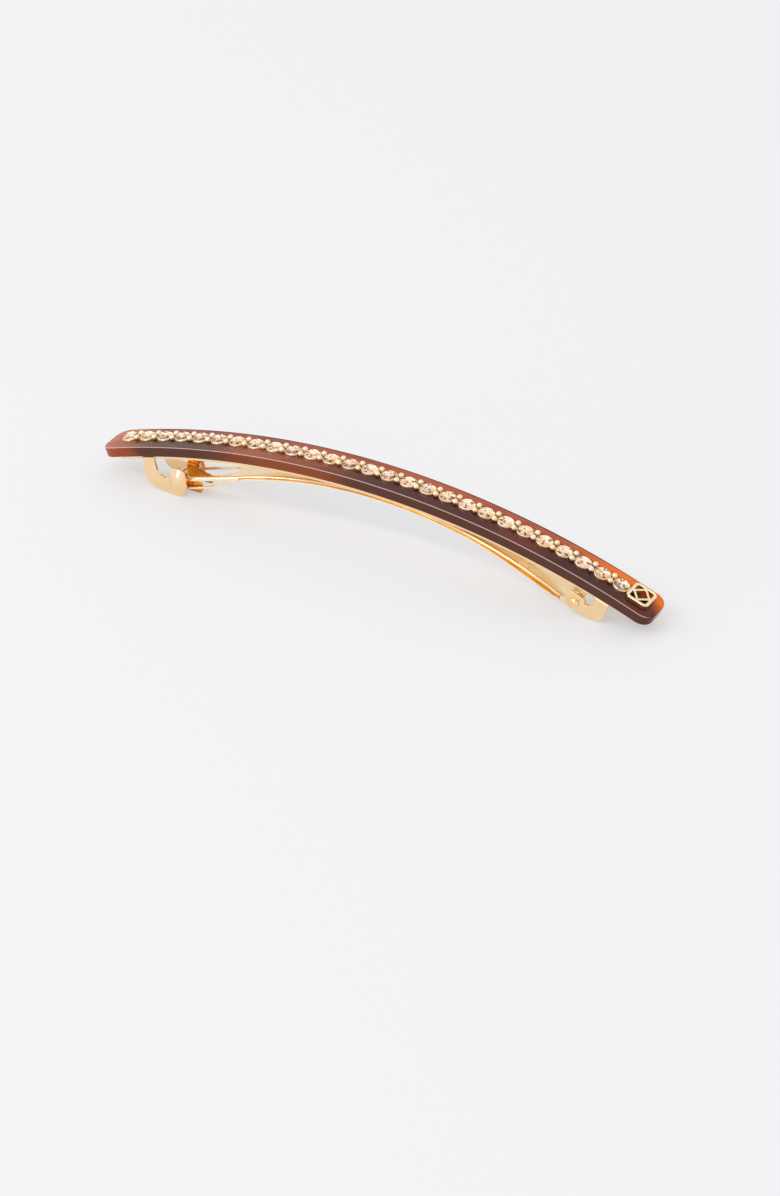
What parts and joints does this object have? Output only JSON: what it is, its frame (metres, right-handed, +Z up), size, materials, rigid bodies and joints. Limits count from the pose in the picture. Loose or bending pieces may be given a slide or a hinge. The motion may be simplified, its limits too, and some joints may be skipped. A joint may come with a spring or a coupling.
{
  "type": "hair barrette",
  "caption": "Long arched tortoiseshell hair barrette with a row of crystals and beads, an openwork square at one end and a gilt spring clip underneath.",
  "frame": {"origin": "centre of the object's bounding box in X and Y, at floor level, standing on its latch pads and hinge ears", "axes": "+X along the bar from the catch end to the hinge end, +Y across the bar towards the rear latch jaw, +Z up"},
  "size_m": [0.1052, 0.008, 0.0148],
  "materials": {
    "acetate": "polished tortoiseshell acetate, amber to dark brown",
    "crystal": "champagne faceted glass with foiled back",
    "setting_gilt": "polished pale gilt",
    "emblem_gilt": "polished pale gilt",
    "clip_gilt": "polished gilt sheet, fine rolling marks",
    "spring_gilt": "satin gilt spring strip",
    "rivet_gilt": "polished gilt"
  },
  "bodies": {
    "body": {"tortoiseshell_bar": "acetate", "crystal_setting": "setting_gilt", "crystal_01": "crystal", "crystal_02": "crystal", "crystal_03": "crystal", "crystal_04": "crystal", "crystal_05": "crystal", "crystal_06": "crystal", "crystal_07": "crystal", "crystal_08": "crystal", "crystal_09": "crystal", "crystal_10": "crystal", "crystal_11": "crystal", "crystal_12": "crystal", "crystal_13": "crystal", "crystal_14": "crystal", "crystal_15": "crystal", "crystal_16": "crystal", "crystal_17": "crystal", "crystal_18": "crystal", "crystal_19": "crystal", "crystal_20": "crystal", "crystal_21": "crystal", "crystal_22": "crystal", "crystal_23": "crystal", "crystal_24": "crystal", "crystal_25": "crystal", "crystal_26": "crystal", "crystal_27": "crystal", "emblem_plate": "emblem_gilt", "base_plate": "clip_gilt", "hinge_rivet": "rivet_gilt", "mounting_rivet_left": "rivet_gilt", "mounting_rivet_right": "rivet_gilt"},
    "arm": {"clasp_arm": "clip_gilt"},
    "tension": {"tension_bar": "spring_gilt"},
    "front_jaw": {"latch_jaw_front": "clip_gilt"},
    "rear_jaw": {"latch_jaw_rear": "clip_gilt"}
  },
  "joints": [
    {"name": "arm_swing", "type": "hinge", "parent": "body", "child": "arm", "pos_m": [0.03881, 0, 0.00246], "axis": [0, -1, 0], "range_deg": [0, 85]},
    {"name": "tension_relax", "type": "hinge", "parent": "body", "child": "tension", "pos_m": [0.02794, 0, 0.0083], "axis": [0, -1, 0], "range_deg": [0, 5]},
    {"name": "front_jaw_squeeze", "type": "hinge", "parent": "body", "child": "front_jaw", "pos_m": [-0.04296, -0.00308, 0.00562], "axis": [0.9604, 0, 0.2786], "range_deg": [0, 3.5], "stiffness_Nm_per_rad": 0.0005},
    {"name": "rear_jaw_squeeze", "type": "hinge", "parent": "body", "child": "rear_jaw", "pos_m": [-0.04296, 0.00308, 0.00562], "axis": [-0.9604, 0, -0.2786], "range_deg": [0, 3.5], "stiffness_Nm_per_rad": 0.0005}
  ],
  "couplings": [
    {"joint": "tension_relax", "follows": "arm_swing", "ratio": 0.055},
    {"joint": "rear_jaw_squeeze", "follows": "front_jaw_squeeze", "ratio": 1}
  ]
}
